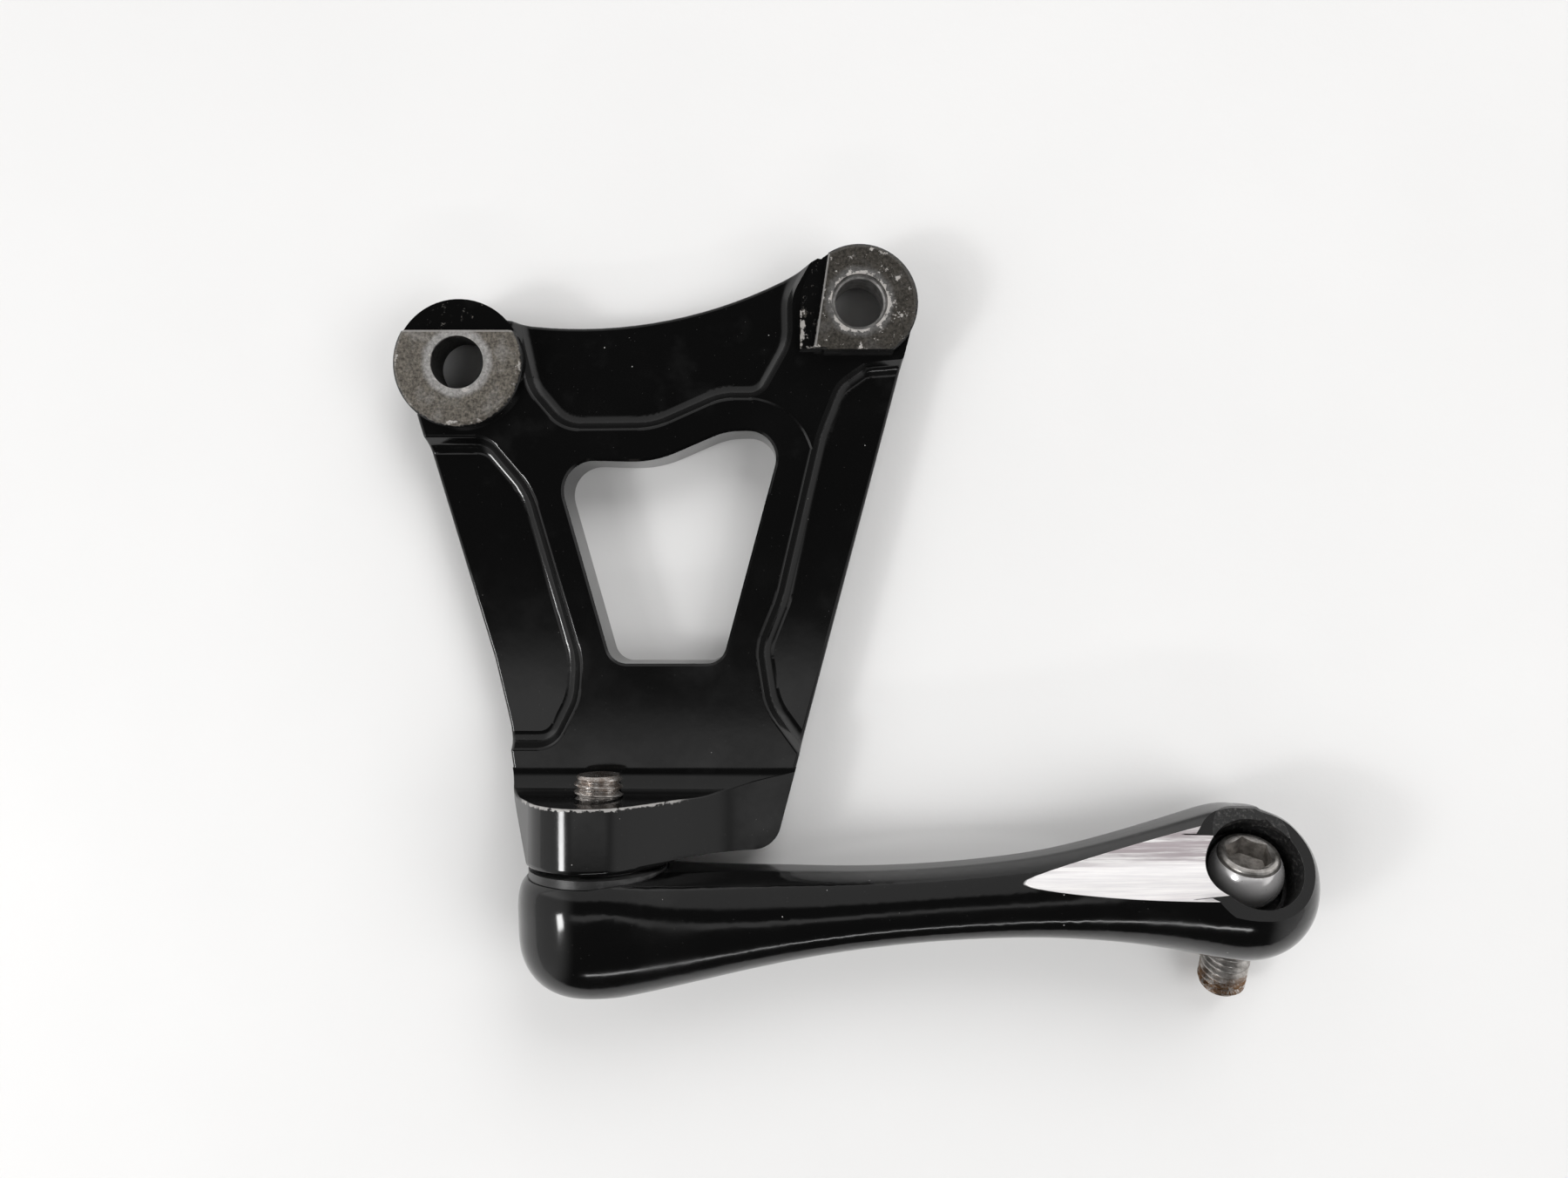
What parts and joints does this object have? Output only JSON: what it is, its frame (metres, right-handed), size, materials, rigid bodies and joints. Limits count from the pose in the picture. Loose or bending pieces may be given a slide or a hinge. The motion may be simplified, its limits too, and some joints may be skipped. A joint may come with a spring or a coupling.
{
  "type": "gear shift lever",
  "caption": "Foot shift lever on a ribbed wedge bracket: a waisted arm swings on a pivot screw at the bracket's foot and holds a screw for a toe peg.",
  "frame": {"origin": "centre of the main bolt hole on its contact face", "axes": "+X from the pivot towards the peg end, +Y from the lever towards the bolt bosses, +Z out of the two contact faces"},
  "size_m": [0.1809, 0.1513, 0.033],
  "materials": {
    "bracket_black": "gloss black",
    "lever_black": "gloss black",
    "sleeve_steel": "turned",
    "screw_steel": "satin",
    "spacer_steel": "turned",
    "washer_steel": "satin",
    "spring_steel": "dark satin",
    "thrust_plastic": "semi-gloss black",
    "bush_bronze": "sintered bronze",
    "ball_chrome": "polished"
  },
  "bodies": {
    "bracket": {"bracket_body": "bracket_black", "locating_sleeve": "sleeve_steel", "pivot_spacer": "spacer_steel", "head_washer": "washer_steel", "pivot_screw": "screw_steel", "wave_washer": "spring_steel"},
    "thrust": {"thrust_washer": "thrust_plastic"},
    "lever": {"lever_arm": "lever_black", "pivot_bush": "bush_bronze", "peg_ball_collar": "ball_chrome"},
    "peg": {"peg_screw": "screw_steel"}
  },
  "joints": [
    {"name": "lever_swing", "type": "hinge", "parent": "bracket", "child": "lever", "pos_m": [0.0283, -0.105, 0.0019], "axis": [0, 1, 0], "range_deg": [-20, 20]},
    {"name": "thrust_washer_spin", "type": "hinge", "parent": "bracket", "child": "thrust", "pos_m": [0.0283, -0.09935, 0.0019], "axis": [0, 1, 0], "continuous": true},
    {"name": "peg_screw_spin", "type": "hinge", "parent": "lever", "child": "peg", "pos_m": [0.1541, -0.0996, 0.003], "axis": [-0.026, 0.8657, 0.4998], "continuous": true}
  ]
}
